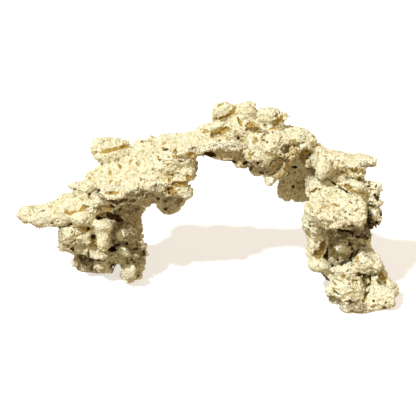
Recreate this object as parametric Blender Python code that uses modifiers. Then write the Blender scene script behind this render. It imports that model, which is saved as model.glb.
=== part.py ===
# A dry reef rock arch: separate porous rocks, bonded end to end, that stand on two legs
# Each rock is a handful of lumps grown together, hollowed, roughened and cut to fit the rocks
# it touches. Lengths in the rock tables are millimetres, and +Z is up.

import math

import bmesh
import bpy
from mathutils import Euler, Matrix, Vector

for thing in list(bpy.data.objects):
    bpy.data.objects.remove(thing, do_unlink=True)

archName = "dry_reef_rock"
mm = 0.001
gap = 0.55 * mm  # space left between two rocks that touch
voxelSize = 2.6 * mm  # grain of the mesh that the lumps are melted into
ballDetail = 4  # times a ball's first twenty faces are divided
blockRound = 0.6  # how much of a block's thinnest half its rounded edges take
waveSize = 17 * mm  # spacing of the coarse creases on a rock
waveHeight = 9 * mm
knobSize = 8 * mm  # spacing of the small knobs on a rock
knobHeight = 3.5 * mm
creaseLevel = 0.24  # the height in the creases that stays where the lumps put it
floorWidth = 900 * mm
floorDepth = 60 * mm  # thickness of the block that cuts the soles flat
roughness = 0.95


# A lump is its kind, its centre and half sizes in mm, and its turn in degrees about X, Y and Z
def ball(centre, half, turn=(0, 0, 0)):
    return ("ball", centre, half, turn)


def block(centre, half, turn=(0, 0, 0)):
    return ("block", centre, half, turn)


rocks = {}

# The toe: a slab that tapers to the left
rocks["toe_rock"] = dict(
    colour=(0.80, 0.74, 0.56),
    faces=370,
    lumps=[
        ball((-219, 4, 98), (12, 9, 7)),
        block((-206, 5, 96), (24, 13, 8), (0, -8, 0)),
        ball((-183, 6, 98), (32, 19, 14), (0, -14, 0)),
        ball((-172, 8, 105), (16, 20, 12)),
        ball((-152, 8, 108), (32, 27, 15), (0, -12, 0)),
        ball((-126, 12, 113), (24, 26, 14)),
    ],
    hollows=[
        ball((-200, -6, 109), (9, 7, 4)),
        ball((-160, -17, 112), (14, 6, 3), (0, -20, 0)),
    ],
)

# The block under the toe, at the front of the left leg
rocks["front_block"] = dict(
    colour=(0.80, 0.74, 0.56),
    faces=490,
    lumps=[
        ball((-149, -8, 99), (15, 18, 14)),
        ball((-167, -2, 76), (12, 15, 13)),
        block((-174, 2, 62), (9, 13, 12)),
        ball((-126, -12, 80), (13, 14, 24)),
        block((-126, -4, 96), (12, 14, 10)),
        ball((-145, 6, 71), (26, 22, 26)),
        ball((-163, 4, 54), (22, 16, 10)),
        ball((-136, 0, 44), (14, 13, 10)),
    ],
    hollows=[
        ball((-148, -22, 81), (8, 10, 5)),
        ball((-137, -20, 71), (5, 14, 5)),
    ],
)

# The left leg: a column on two feet
rocks["left_leg_rock"] = dict(
    colour=(0.62, 0.55, 0.38),
    faces=610,
    lumps=[
        ball((-99, 26, 94), (22, 20, 18)),
        ball((-101, 24, 118), (20, 18, 16)),
        ball((-100, 24, 68), (19, 18, 22)),
        block((-113, 24, 60), (10, 14, 22)),
        ball((-90, 17, 40), (14, 16, 18)),
        ball((-96, 10, 17), (13, 14, 20)),
        ball((-103, 4, 68), (9, 8, 8)),
        block((-119, 13, 33), (18, 11, 8)),
        ball((-110, 44, 60), (18, 14, 26)),
        ball((-153, 35, 18), (18, 19, 20)),
        ball((-132, 22, 11), (13, 12, 13)),
        ball((-139, 26, 38), (18, 16, 12)),
    ],
    hollows=[
        ball((-113, 4, 52), (7, 12, 8)),
        ball((-110, 8, 85), (9, 16, 6), (0, 25, 0)),
    ],
)

# The deck: the broad porous plate over the left leg
rocks["deck_rock"] = dict(
    colour=(0.80, 0.74, 0.56),
    faces=800,
    lumps=[
        ball((-80, 22, 146), (54, 44, 14), (18, -8, 0)),
        ball((-145, 12, 132), (24, 12, 6), (0, -6, 0)),
        ball((-125, 24, 137), (18, 22, 10), (10, 0, 0)),
        ball((-114, 28, 142), (20, 20, 10), (18, 0, 0)),
        ball((-116, 44, 150), (17, 12, 9)),
        ball((-109, -12, 132), (24, 14, 10)),
        block((-69, 2, 139), (26, 20, 13)),
        ball((-45, 6, 136), (17, 18, 16)),
        ball((-72, 6, 118), (14, 14, 10)),
        ball((-46, 8, 116), (16, 14, 14)),
        ball((-44, 8, 109), (13, 12, 12)),
        block((-33, 26, 174), (30, 24, 11), (14, -10, 0)),
        ball((-45, 44, 172), (20, 15, 9)),
        ball((-70, 50, 162), (24, 16, 10)),
        ball((-68, 45, 174), (4, 4, 9)),
        ball((-24, 8, 154), (11, 17, 15)),
        ball((-25, 2, 128), (9, 10, 8)),
    ],
    hollows=[
        ball((-118, -22, 128), (9, 6, 4)),
        ball((-20, -2, 140), (7, 16, 4)),
    ],
)

# The cap: a flat stone that lies on the deck
rocks["cap_stone"] = dict(
    colour=(0.82, 0.77, 0.60),
    faces=190,
    lumps=[
        ball((-117, 48, 163), (25, 19, 11), (4, 4, 0)),
        block((-107, 46, 164), (15, 12, 7)),
    ],
    hollows=[],
)

# The bridge: a thin slab from the deck to the crown
rocks["bridge_slab"] = dict(
    colour=(0.83, 0.78, 0.62),
    faces=420,
    lumps=[
        block((3, 13, 186), (42, 20, 7), (4, -3, 0)),
        ball((-4, 28, 193), (14, 12, 9)),
        ball((15, 28, 203), (24, 13, 8), (0, -14, 0)),
        ball((-14, 34, 182), (22, 14, 10)),
        ball((24, 12, 175), (18, 14, 9)),
        ball((5, 16, 177), (9, 12, 6)),
        ball((38, 6, 167), (10, 11, 8)),
    ],
    hollows=[
        ball((14, 13, 201), (12, 7, 5), (0, -20, 0)),
    ],
)

# The crown: a cluster of round knobs at the top of the arch
rocks["crown_rock"] = dict(
    colour=(0.81, 0.75, 0.57),
    faces=590,
    lumps=[
        ball((18, 30, 222), (13, 12, 12)),
        ball((33, 30, 220), (11, 11, 10)),
        ball((49, 28, 220), (11, 12, 12)),
        ball((70, 26, 215), (14, 13, 11)),
        ball((86, 24, 219), (9, 7, 5)),
        ball((45, 26, 203), (32, 19, 15)),
        ball((40, 44, 204), (16, 12, 12)),
        ball((75, 24, 208), (12, 15, 12)),
        ball((44, 11, 183), (13, 12, 13)),
        ball((60, 14, 196), (16, 14, 12)),
    ],
    hollows=[
        ball((56, 7, 206), (10, 8, 5)),
        ball((80, 11, 213), (7, 8, 6)),
    ],
)

# The span: the large rock that turns the arch down to the right
rocks["span_rock"] = dict(
    colour=(0.79, 0.72, 0.54),
    faces=590,
    lumps=[
        block((78, 10, 190), (32, 22, 15), (0, 10, 0)),
        ball((107, 18, 189), (20, 20, 14), (0, 22, 0)),
        ball((84, 32, 174), (22, 16, 16)),
        ball((62, 0, 180), (20, 18, 14)),
        block((87, 5, 169), (13, 12, 22), (0, 22, 0)),
        ball((74, -5, 152), (9, 9, 10)),
        ball((59, 11, 159), (13, 12, 12)),
        ball((46, 8, 171), (8, 10, 8)),
    ],
    hollows=[
        ball((60, -3, 160), (9, 10, 7)),
    ],
)

# The back rock: a panel behind the opening, under the span
rocks["back_rock"] = dict(
    colour=(0.60, 0.53, 0.37),
    faces=380,
    lumps=[
        ball((103, 42, 119), (17, 14, 24)),
        block((118, 38, 112), (12, 12, 18)),
        ball((115, 34, 148), (16, 14, 20)),
        ball((114, 28, 169), (14, 14, 12)),
        block((131, 26, 150), (10, 14, 20)),
    ],
    hollows=[],
)

# The shelf: a ledge that points right
rocks["shelf_rock"] = dict(
    colour=(0.82, 0.76, 0.60),
    faces=430,
    lumps=[
        block((154, 8, 166), (28, 17, 7), (0, 3, 0)),
        ball((183, 7, 169), (15, 13, 6), (0, 6, 0)),
        ball((134, -8, 167), (11, 13, 14)),
        ball((130, 16, 170), (17, 18, 12), (0, 16, 0)),
        ball((174, 4, 154), (12, 12, 8)),
        block((158, 10, 150), (24, 13, 9)),
    ],
    hollows=[
        ball((162, -8, 152), (14, 8, 5)),
    ],
)

# The shoulder: the pitted block over the right leg
rocks["shoulder_rock"] = dict(
    colour=(0.81, 0.76, 0.60),
    faces=560,
    lumps=[
        block((148, -16, 128), (33, 24, 13), (10, 0, 0)),
        ball((146, -28, 115), (34, 18, 15)),
        ball((170, -14, 115), (18, 18, 14)),
        ball((170, 0, 138), (19, 18, 12)),
        ball((125, -3, 142), (10, 11, 11)),
        ball((157, 4, 142), (18, 14, 9)),
        ball((150, 14, 122), (26, 16, 18)),
        ball((162, -28, 103), (18, 12, 6)),
    ],
    hollows=[],
)

# The knob: rough lumps down the right side of the shoulder
rocks["knob_rock"] = dict(
    colour=(0.74, 0.68, 0.52),
    faces=370,
    lumps=[
        block((193, 4, 130), (11, 14, 12)),
        ball((195, 0, 117), (12, 14, 13)),
        ball((199, -1, 99), (11, 13, 12)),
        block((188, 2, 90), (12, 13, 14)),
        ball((191, 3, 77), (10, 12, 14)),
        ball((190, 4, 62), (8, 11, 12)),
    ],
    hollows=[],
)

# The right leg: a hollowed column between the shoulder and the foot
rocks["right_leg_rock"] = dict(
    colour=(0.70, 0.63, 0.46),
    faces=520,
    lumps=[
        ball((123, -10, 94), (10, 13, 13)),
        block((132, -12, 75), (10, 14, 18)),
        ball((131, -12, 54), (12, 14, 14)),
        block((135, -20, 42), (13, 14, 10), (0, 14, 0)),
        ball((161, 4, 58), (26, 20, 32)),
        block((157, 2, 94), (24, 16, 18)),
        ball((176, -3, 75), (14, 14, 16)),
        ball((150, -18, 30), (12, 14, 12)),
    ],
    hollows=[
        ball((164, -26, 58), (18, 14, 18)),
    ],
)

# The foot: the rock that the right leg stands on
rocks["foot_rock"] = dict(
    colour=(0.79, 0.73, 0.56),
    faces=750,
    lumps=[
        block((168, -38, 27), (16, 19, 24), (0, 6, 0)),
        ball((191, -22, 47), (17, 17, 14)),
        ball((199, -18, 49), (10, 12, 9), (0, 40, 0)),
        ball((208, -42, 9), (20, 22, 17)),
        ball((223, -34, 13), (10, 14, 10)),
        ball((168, -54, 6), (11, 11, 9)),
        ball((181, -56, 4), (14, 13, 10)),
        ball((196, -50, 4), (14, 14, 9)),
        ball((154, -44, 14), (11, 12, 11)),
        ball((207, -24, 26), (10, 13, 15)),
        block((192, -8, 16), (28, 24, 16)),
        ball((182, 20, 12), (22, 18, 15)),
    ],
    hollows=[
        ball((193, -44, 27), (6, 14, 9)),
        ball((209, -38, 29), (4, 8, 8)),
    ],
)

# A rock gives way to the rocks named before it here
fitOrder = [
    "deck_rock",
    "toe_rock",
    "cap_stone",
    "front_block",
    "left_leg_rock",
    "crown_rock",
    "bridge_slab",
    "span_rock",
    "shelf_rock",
    "shoulder_rock",
    "back_rock",
    "knob_rock",
    "foot_rock",
    "right_leg_rock",
]


def newCollection(name):
    collection = bpy.data.collections.new(name)
    bpy.context.scene.collection.children.link(collection)
    return collection


def newObject(name, mesh, collection):
    thing = bpy.data.objects.new(name, mesh)
    collection.objects.link(thing)
    return thing


def newCutter(name, mesh, collection):
    cutter = newObject(name, mesh, collection)
    cutter.hide_render = True
    cutter.display_type = "WIRE"
    return cutter


# One mesh that holds each lump as a closed shell of its own
def lumpMesh(name, lumps):
    shells = bmesh.new()
    for kind, centre, half, turn in lumps:
        turned = Euler([math.radians(angle) for angle in turn]).to_matrix().to_4x4()
        size = Matrix.Diagonal([mm * length for length in half] + [1])
        place = Matrix.Translation(Vector(centre) * mm) @ turned @ size
        if kind == "ball":
            bmesh.ops.create_icosphere(shells, subdivisions=ballDetail, radius=1, matrix=place)
        else:
            made = bmesh.ops.create_cube(shells, size=2, matrix=place)
            edges = list({edge for corner in made["verts"] for edge in corner.link_edges})
            width = blockRound * min(half) * mm
            bmesh.ops.bevel(shells, geom=edges, offset=width, segments=3, affect="EDGES")
    mesh = bpy.data.meshes.new(name)
    shells.to_mesh(mesh)
    shells.free()
    return mesh


# Swaps an object's mesh for the one that its modifiers make
def bake(thing):
    bpy.context.view_layer.update()
    graph = bpy.context.evaluated_depsgraph_get()
    mesh = bpy.data.meshes.new_from_object(thing.evaluated_get(graph), depsgraph=graph)
    thing.modifiers.clear()
    thing.data = mesh


def addCut(thing, cutter):
    cut = thing.modifiers.new("cut", "BOOLEAN")
    cut.object = cutter
    cut.operation = "DIFFERENCE"
    cut.solver = "EXACT"
    cut.use_self = True


def addMelt(thing):
    melt = thing.modifiers.new("melt", "REMESH")
    melt.mode = "VOXEL"
    melt.voxel_size = voxelSize


def creaseTexture(name, size, depth):
    texture = bpy.data.textures.new(name, "CLOUDS")
    texture.noise_type = "HARD_NOISE"
    texture.noise_scale = size
    texture.noise_depth = depth
    return texture


# The sets of faces that hang together, smallest first
def faceIslands(body):
    left = set(body.faces)
    islands = []
    while left:
        island = [left.pop()]
        for face in island:
            near = {other for edge in face.edges for other in edge.link_faces}
            island.extend(near & left)
            left -= near
        islands.append(island)
    return sorted(islands, key=lambda island: sum(face.calc_area() for face in island))


# Drops the crumbs that a cut leaves beside the main body
def keepLargest(mesh):
    body = bmesh.new()
    body.from_mesh(mesh)
    crumbs = [face for island in faceIslands(body)[:-1] for face in island]
    bmesh.ops.delete(body, geom=crumbs, context="FACES")
    bmesh.ops.triangulate(body, faces=body.faces[:])
    body.to_mesh(mesh)
    body.free()


def stone(name, colour):
    material = bpy.data.materials.new(name + "_stone")
    material.use_nodes = True
    shader = material.node_tree.nodes["Principled BSDF"]
    shader.inputs["Base Color"].default_value = (*colour, 1)
    shader.inputs["Roughness"].default_value = roughness
    shader.inputs["Metallic"].default_value = 0
    return material


# Melts a rock's lumps into one body, hollows it, roughens it and thins its mesh
def growRock(name, rock, creases):
    body = newObject(name, lumpMesh(name, rock["lumps"]), archCollection)
    addMelt(body)
    bake(body)
    if rock["hollows"]:
        hollows = lumpMesh(name + "_hollows", rock["hollows"])
        addCut(body, newCutter(name + "_hollows", hollows, cutterCollection))
        addMelt(body)
    for texture, height in creases:
        lift = body.modifiers.new("creases", "DISPLACE")
        lift.texture = texture
        lift.texture_coords = "GLOBAL"
        lift.strength = height
        lift.mid_level = creaseLevel
    addMelt(body)
    bake(body)
    thin = body.modifiers.new("thin", "DECIMATE")
    thin.ratio = rock["faces"] / (2 * len(body.data.polygons))
    thin.use_collapse_triangulate = True
    bake(body)
    keepLargest(body.data)
    body.data.materials.clear()
    body.data.materials.append(stone(name, rock["colour"]))
    return body


# A copy of a rock, larger by the gap all round, that cuts its neighbours
def swollen(body):
    copy = newCutter(body.name + "_fit", body.data.copy(), cutterCollection)
    swell = copy.modifiers.new("swell", "DISPLACE")
    swell.strength = gap
    swell.mid_level = 0
    bake(copy)
    return copy


def floorBlock():
    shell = bmesh.new()
    size = Matrix.Diagonal([floorWidth, floorWidth, floorDepth, 1])
    bmesh.ops.create_cube(shell, size=1, matrix=Matrix.Translation((0, 0, -floorDepth / 2)) @ size)
    mesh = bpy.data.meshes.new("floor")
    shell.to_mesh(mesh)
    shell.free()
    return newCutter("floor", mesh, cutterCollection)


def boxOf(bodies):
    corners = [vertex.co for body in bodies for vertex in body.data.vertices]
    low = Vector([min(corner[axis] for corner in corners) for axis in range(3)])
    high = Vector([max(corner[axis] for corner in corners) for axis in range(3)])
    return low, high


def boxesMeet(first, second):
    (lowA, highA), (lowB, highB) = boxOf([first]), boxOf([second])
    return all(lowA[axis] < highB[axis] and lowB[axis] < highA[axis] for axis in range(3))


# Cuts each rock to the floor and to the rocks that it gives way to
def fitRocks(bodies):
    cutters = [floorBlock()]
    for name in fitOrder:
        body = bodies[name]
        for cutter in cutters:
            if boxesMeet(body, cutter):
                addCut(body, cutter)
                bake(body)
        keepLargest(body.data)
        cutters.append(swollen(body))


# Puts the middle of the arch over the origin, with its soles at zero height
def standOnOrigin(bodies):
    low, high = boxOf(bodies)
    middle = (low + high) / 2
    for body in bodies:
        body.location = (-middle.x, -middle.y, -low.z)


archCollection = newCollection(archName)
cutterCollection = newCollection("cutters")
creaseTextures = [
    (creaseTexture("waves", waveSize, 2), waveHeight),
    (creaseTexture("knobs", knobSize, 1), knobHeight),
]
rockBodies = {name: growRock(name, rock, creaseTextures) for name, rock in rocks.items()}
fitRocks(rockBodies)
standOnOrigin(list(rockBodies.values()))
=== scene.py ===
import math
import time
from functools import partial
import bpy
import numpy as np
import openvdb
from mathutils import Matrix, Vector
from mathutils.bvhtree import BVHTree


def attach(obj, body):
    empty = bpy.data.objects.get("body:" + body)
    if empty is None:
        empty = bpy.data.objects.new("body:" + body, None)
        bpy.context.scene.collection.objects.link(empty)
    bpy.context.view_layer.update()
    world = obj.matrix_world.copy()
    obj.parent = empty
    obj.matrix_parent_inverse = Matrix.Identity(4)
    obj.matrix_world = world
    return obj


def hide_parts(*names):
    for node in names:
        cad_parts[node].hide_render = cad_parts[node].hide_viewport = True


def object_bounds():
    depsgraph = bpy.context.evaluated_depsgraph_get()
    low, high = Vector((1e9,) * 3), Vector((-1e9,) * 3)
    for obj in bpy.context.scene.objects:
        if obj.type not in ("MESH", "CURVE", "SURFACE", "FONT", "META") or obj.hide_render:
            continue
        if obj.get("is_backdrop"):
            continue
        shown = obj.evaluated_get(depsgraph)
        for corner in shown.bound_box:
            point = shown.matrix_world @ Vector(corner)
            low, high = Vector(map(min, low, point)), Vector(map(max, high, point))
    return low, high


# Dry reef rock arch: fourteen bonded rocks of cream, porous reef stone on a pale floor
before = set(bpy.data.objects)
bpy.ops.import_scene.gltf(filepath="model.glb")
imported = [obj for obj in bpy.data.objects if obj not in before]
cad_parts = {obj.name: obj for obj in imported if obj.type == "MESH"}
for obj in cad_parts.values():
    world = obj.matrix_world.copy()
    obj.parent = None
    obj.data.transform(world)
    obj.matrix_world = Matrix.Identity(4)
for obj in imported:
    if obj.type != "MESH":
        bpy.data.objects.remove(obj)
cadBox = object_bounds()
mm = 0.001
started = time.time()

# Camera
view = dict(
    target=(-0.34, -0.15, 108),  # mm, the point at the middle of the picture
    distance=1250,  # mm from the target
    elevation=30,  # degrees above the floor
    lens=90,  # mm on a sensor of 36 mm
    sensor=36,
    pixels=416,  # the picture's width and height
    clip=(0.05, 30),  # m from the camera, between which things are drawn
    searched=160,  # mm before and behind the target where a line of sight is followed
    stride=4.0,  # mm between the places looked at along it
)

tilt = math.radians(view["elevation"])
viewBack = Vector((0, -math.cos(tilt), math.sin(tilt)))  # from the target to the camera
viewRight = Vector((1, 0, 0))
viewUp = viewBack.cross(viewRight)
eye = Vector(view["target"]) + viewBack * view["distance"]
focal = view["lens"] / view["sensor"] * view["pixels"]  # in pixels

lookout = bpy.data.cameras.new("camera")
lookout.lens = view["lens"]
lookout.sensor_width = view["sensor"]
lookout.clip_start, lookout.clip_end = view["clip"]
camera = bpy.data.objects.new("camera", lookout)
camera.location = eye * mm
camera.rotation_euler = (math.radians(90 - view["elevation"]), 0, 0)
bpy.context.scene.collection.objects.link(camera)
bpy.context.scene.camera = camera


weldGrain = 1000  # corners are welded where they agree to this part of a mm


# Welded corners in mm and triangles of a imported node
def nodeMesh(name):
    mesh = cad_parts[name].data
    corners = np.empty(len(mesh.vertices) * 3, np.float32)
    mesh.vertices.foreach_get("co", corners)
    mesh.calc_loop_triangles()
    faces = np.empty(len(mesh.loop_triangles) * 3, np.int32)
    mesh.loop_triangles.foreach_get("vertices", faces)
    keys = np.round(corners.reshape(-1, 3) / mm * weldGrain).astype(np.int64)
    welded, which = np.unique(keys, axis=0, return_inverse=True)
    triangles = which.reshape(-1)[faces].reshape(-1, 3)
    return (welded / weldGrain).astype(np.float32), triangles.astype(np.uint32)


packed = {name: nodeMesh(name) for name in sorted(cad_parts)}
rockNames = list(packed)


def joinedTree():
    points, faces, first = [], [], 0
    for corners, triangles in packed.values():
        points.append(corners)
        faces.append(triangles.astype(np.int64) + first)
        first += len(corners)
    return BVHTree.FromPolygons(np.concatenate(points).tolist(), np.concatenate(faces).tolist())


tree = joinedTree()


# The point of the arch that a pixel of the picture shows, in mm, and the size of a pixel there.
# Beside the outline it is the point of the line of sight that comes nearest to the arch.
def aim(x, y):
    half = view["pixels"] / 2
    ray = (viewRight * (x - half) + viewUp * (half - y) - viewBack * focal).normalized()
    point = tree.ray_cast(eye, ray)[0]
    if point is None:
        near, far = view["distance"] - view["searched"], view["distance"] + view["searched"]
        steps = np.arange(near, far, view["stride"])
        gaps = [tree.find_nearest(eye + ray * float(step))[3] for step in steps]
        point = eye + ray * float(steps[int(np.argmin(gaps))])
    return point, (eye - point).dot(viewBack) / focal


# Noise is read from cubes of random values that repeat in every direction
hill = 7  # cells from one hill or broken face to the next
hillSpread = 0.38  # how unlike in width the hills are
cubeSize = 96  # cells along a cube of hills
cragSize = 84  # and along a cube of broken faces
cragHeight = 0.5  # how unlike in height the faces are
cragSlope = 2  # and how steep
hillSeeds = (11, 23, 37, 53)
cragSeed = 71


def hillCube(seed):
    spectrum = np.fft.rfftn(np.random.RandomState(seed).standard_normal((cubeSize,) * 3))
    whole = np.fft.fftfreq(cubeSize)
    half = np.fft.rfftfreq(cubeSize)
    pitch = np.sqrt(whole[:, None, None] ** 2 + whole[None, :, None] ** 2 + half[None, None, :] ** 2)
    spectrum *= np.exp(-(((pitch * hill) - 1) / hillSpread) ** 2)
    cube = np.fft.irfftn(spectrum, s=(cubeSize,) * 3)
    return (cube / cube.std()).astype(np.float32)


# A cube of flat broken faces: each cell round a random point has its own height and slope.
# The second cube is how far a place is from the edge of its cell.
def cragCubes(seed):
    random = np.random.RandomState(seed)
    count = cragSize // hill
    jitter, slope = random.random_sample((2, count, count, count, 3))
    height = random.standard_normal((count, count, count))
    axis = np.arange(cragSize) + 0.5
    place = np.stack(np.meshgrid(axis, axis, axis, indexing="ij"), -1)
    home = (place // hill).astype(int)
    first = np.full(place.shape[:3], np.inf)
    second, value = first.copy(), np.zeros(place.shape[:3])
    for near in np.ndindex(3, 3, 3):
        cell = home + np.array(near) - 1
        pick = tuple((cell % count)[..., k] for k in range(3))
        offset = (place - (cell + jitter[pick]) * hill) / hill
        gap = np.sqrt((offset ** 2).sum(-1))
        closer = gap < first
        second = np.where(closer, first, np.minimum(second, gap))
        first = np.where(closer, gap, first)
        face = height[pick] * cragHeight + (offset * (slope[pick] * 2 * cragSlope - cragSlope)).sum(-1)
        value = np.where(closer, face, value)
    return (value / value.std()).astype(np.float32), (second - first).astype(np.float32)


hills = [hillCube(seed) for seed in hillSeeds]
crags, edges = cragCubes(cragSeed)
print(f"noise made after {time.time() - started:.0f} s")


# The cube's value at points in mm, for hills that are `spacing` mm apart
def noiseAt(cube, points, spacing):
    size = len(cube)
    place = points * (hill / spacing)
    low = np.floor(place).astype(np.int32)
    part = (place - low).astype(np.float32)
    low %= size
    high = (low + 1) % size
    total = 0
    for cornerX, shareX in ((low[:, 0], 1 - part[:, 0]), (high[:, 0], part[:, 0])):
        for cornerY, shareY in ((low[:, 1], 1 - part[:, 1]), (high[:, 1], part[:, 1])):
            for cornerZ, shareZ in ((low[:, 2], 1 - part[:, 2]), (high[:, 2], part[:, 2])):
                total = total + cube[cornerX, cornerY, cornerZ] * shareX * shareY * shareZ
    return total


# A turn that keeps the hills of different layers out of step
def turned(points, angle):
    c, s = math.cos(angle), math.sin(angle)
    mix = np.array([[c, -s, 0], [s * c, c * c, -s], [s * s, c * s, c]], np.float32)
    return points @ mix.T


# Forms. A form is a rounded body: its centre, its three axes as rows, its half sizes and how square it is
def form(centre, axes, half, square=2.0):
    return dict(centre=np.array(centre), axes=np.array(axes), half=np.array(half, float), square=square)


# Distance from a form's surface, minus inside
def formDistance(body, x, y, z):
    offset = [x - body["centre"][0], y - body["centre"][1], z - body["centre"][2]]
    total = 0
    for axis, half in zip(body["axes"], body["half"]):
        along = (offset[0] * axis[0] + offset[1] * axis[1] + offset[2] * axis[2]) / half
        total = total + np.abs(along) ** body["square"]
    return (total ** (1 / body["square"]) - 1) * body["half"].min()


# A form that a pixel of the picture shows: `size` is its half width and half height in pixels, `deep` its
# half depth in mm, `turn` is in degrees against the clock, and `out` mm is how far its middle stands
# towards the camera
def seen(at, size, deep, turn=0, out=0, square=2.0):
    point, pixel = aim(*at)
    back = (eye - point).normalized()
    right = viewUp.cross(back).normalized()
    up = back.cross(right)
    angle = math.radians(turn)
    across = right * math.cos(angle) + up * math.sin(angle)
    along = up * math.cos(angle) - right * math.sin(angle)
    return form(point + back * out, [across, along, back], [size[0] * pixel, size[1] * pixel, deep], square)


# What the picture shows on each rock. Half widths and half heights, `wide` and `tall`, and the places `at`
# and `along` are in the picture's pixels. `deep`, a half depth, and `rise` are in mm, and `turn` in degrees.
crackOverrun = 0.6  # of its half width, how far a crack runs past its ends
crackSquare = 2.4
lumpDepth = 0.8  # a lump's half depth in its larger half sizes, where none is given


# A pit is a hollow with a colour whose strength is from 0 to 1: ochre is a stain of the stone, brown and dark
# are painted shade, pale is painted light
def pit(wide, tall, deep, at, turn=0, stain=0.6, tone="ochre", square=2.0):
    bodies = [seen(at, (wide, tall), deep, turn, 0, square)]
    return dict(bodies=bodies, stain=stain, tone=tone, inside=tone != "ochre")


# A crack is a groove along pixels
def crack(wide, deep, along, stain=0.4, tone="ochre"):
    bodies = []
    for start, end in zip(along, along[1:]):
        (a, pixel), (b, _) = aim(*start), aim(*end)
        reach = (b - a).length / 2 + wide * pixel * crackOverrun
        across = (b - a).normalized()
        back = (viewBack - across * viewBack.dot(across)).normalized()
        axes, half = [across, back.cross(across), back], [reach, wide * pixel, deep]
        bodies.append(form((a + b) / 2, axes, half, crackSquare))
    return dict(bodies=bodies, stain=stain, tone=tone, inside=tone != "ochre")


# The same in the other colours: holes and slits are painted dark shade inside, hollows and grooves painted
# brown shade
hole, hollow = partial(pit, tone="dark", stain=0.8), partial(pit, tone="brown")
slit, groove = partial(crack, tone="dark", stain=1), partial(crack, tone="brown", stain=0.8)


# A lump is a rounded rise whose front stands `rise` mm out. A boss is a lump inside a hollow
def lump(wide, tall, deep=0, *, at, rise=0, turn=0, square=2.0):
    deep = deep or max(wide, tall) * aim(*at)[1] * lumpDepth
    return seen(at, (wide, tall), deep, turn, rise - deep, square)


# A trim takes the outline in
def trim(wide, tall, at, turn=0, deep=70):
    return seen(at, (wide, tall), deep, turn)


# A wash is colour alone
def wash(wide, tall, at, turn=0, deep=9, stain=0.6):
    return dict(bodies=[seen(at, (wide, tall), deep, turn)], stain=stain, inside=False)


# `rough` is the height of a rock's noise and `bored` how many small bored pits it has: 1 is usual
rocks = {}

# The slab that tapers to the left
rocks["toe_rock"] = dict(rough=0.5, bored=0.6, lumps=[
    lump(10, 2.8, 8, at=(37, 207.5), turn=8), lump(4, 3, at=(62, 197), rise=1),
    lump(19, 10, 14, at=(46, 219.5), rise=3.5, turn=-4), lump(10, 9.5, 12, at=(27, 214.5), rise=2),
    lump(10, 6, 10, at=(61, 221), rise=2), lump(10, 6, 8, at=(84, 218), rise=0.5),
    lump(9, 5, 10, at=(81, 192)),
], trims=[
    trim(8, 4, at=(16.5, 221), turn=-52), trim(9, 2.4, at=(22, 205.3), turn=12),
    trim(10, 5.5, at=(28, 229), turn=-24), trim(16, 5.6, at=(49, 232)),
], hollows=[
    # The dent's pale inside is painted light, so that it does not shade
    pit(6.5, 2.6, 4.4, at=(42, 211), turn=18, stain=0.7, tone="pale"),
    pit(6, 2, 1.5, at=(66, 224), turn=-3, stain=0.5), pit(2.4, 3.6, 3, at=(71, 222.5), stain=0.7),
], pits=[
    crack(1.3, 1.6, along=[(66, 211.5), (69, 213.8), (75, 211.5)], stain=1),
    pit(7.5, 2, 1.3, at=(81.5, 208), turn=17, stain=1),
    crack(0.7, 4, along=[(36, 219), (45, 219.5)], stain=0.5), pit(1.3, 1.3, 2, at=(52, 223), stain=0.5),
    pit(1, 1.4, 2, at=(58, 222), stain=0.5), pit(1.3, 2.2, 1.2, at=(76.5, 193), turn=-20, stain=0.7),
    pit(3.5, 1.6, 0.7, at=(83, 200), turn=-30, stain=0.5),
])

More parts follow.
